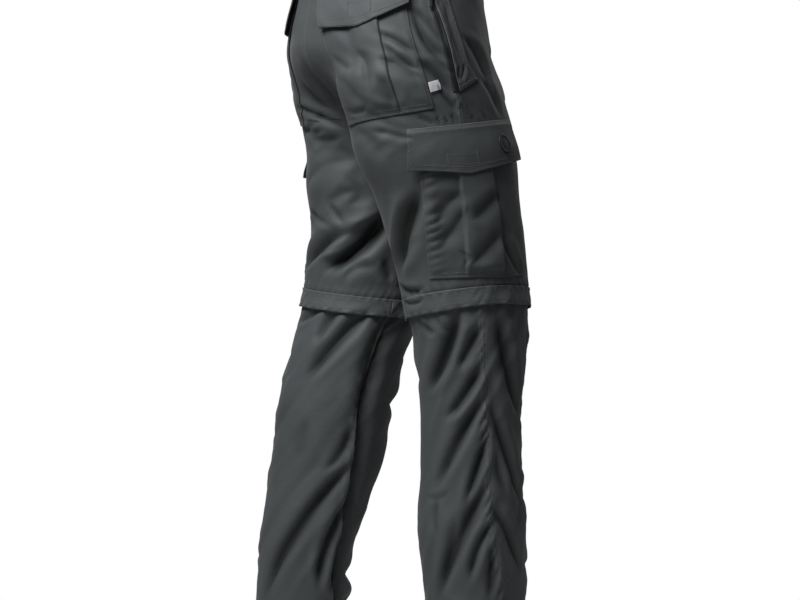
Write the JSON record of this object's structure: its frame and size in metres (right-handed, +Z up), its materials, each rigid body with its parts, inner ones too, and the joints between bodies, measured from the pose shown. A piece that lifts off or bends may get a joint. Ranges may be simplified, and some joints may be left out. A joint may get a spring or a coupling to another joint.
{
  "type": "hiking trousers",
  "caption": "Zip-off hiking trousers worn in mid stride, hollow, with flapped seat and thigh pockets, zip cover bands above the knees, open waist and open hems.",
  "frame": {"origin": "centre of the waist opening, at the waistband's top edge behind", "axes": "+Z up the body, the wearer faces -Y, so the wearer's right is -X"},
  "size_m": [0.3833, 0.3042, 1.0502],
  "materials": {
    "cloth": "dark grey nylon, smooth, slight sheen",
    "waistband_cloth": "dark grey nylon, doubled",
    "zip_tape": "near-black woven tape with a coil",
    "metal": "dull nickel",
    "button": "dark grey, matt",
    "badge": "near-black, matt",
    "label": "white woven ribbon"
  },
  "bodies": {
    "trousers": {"back_flap_left": "cloth", "back_flap_right": "cloth", "back_left": "cloth", "back_pocket_left": "cloth", "back_pocket_right": "cloth", "back_right": "cloth", "cargo_flap_left": "cloth", "cargo_flap_right": "cloth", "cargo_pocket_left": "cloth", "cargo_pocket_right": "cloth", "flap_badge": "badge", "fly_lap": "cloth", "front_left": "cloth", "front_right": "cloth", "hand_welt_left": "cloth", "hand_welt_right": "cloth", "lower_back_left": "cloth", "lower_back_right": "cloth", "lower_front_left": "cloth", "lower_front_right": "cloth", "pocket_label": "label", "pocket_zip_left": "zip_tape", "pocket_zip_right": "zip_tape", "waist_button": "button", "waistband": "waistband_cloth", "zip_band_left": "cloth", "zip_band_right": "cloth", "zip_slider_left": "metal", "zip_slider_right": "metal"},
    "pull_right": {"pull_tab_right": "metal"},
    "pull_left": {"pull_tab_left": "metal"}
  },
  "joints": [
    {"name": "pull_right_hinge", "type": "hinge", "parent": "trousers", "child": "pull_right", "pos_m": [-0.1573, 0.02851, -0.08598], "axis": [0.2101, 0.977, 0.0367], "range_deg": [0, 110]},
    {"name": "pull_left_hinge", "type": "hinge", "parent": "trousers", "child": "pull_left", "pos_m": [0.1574, 0.02261, -0.08606], "axis": [0.2294, -0.9733, 0.0065], "range_deg": [0, 110]}
  ]
}
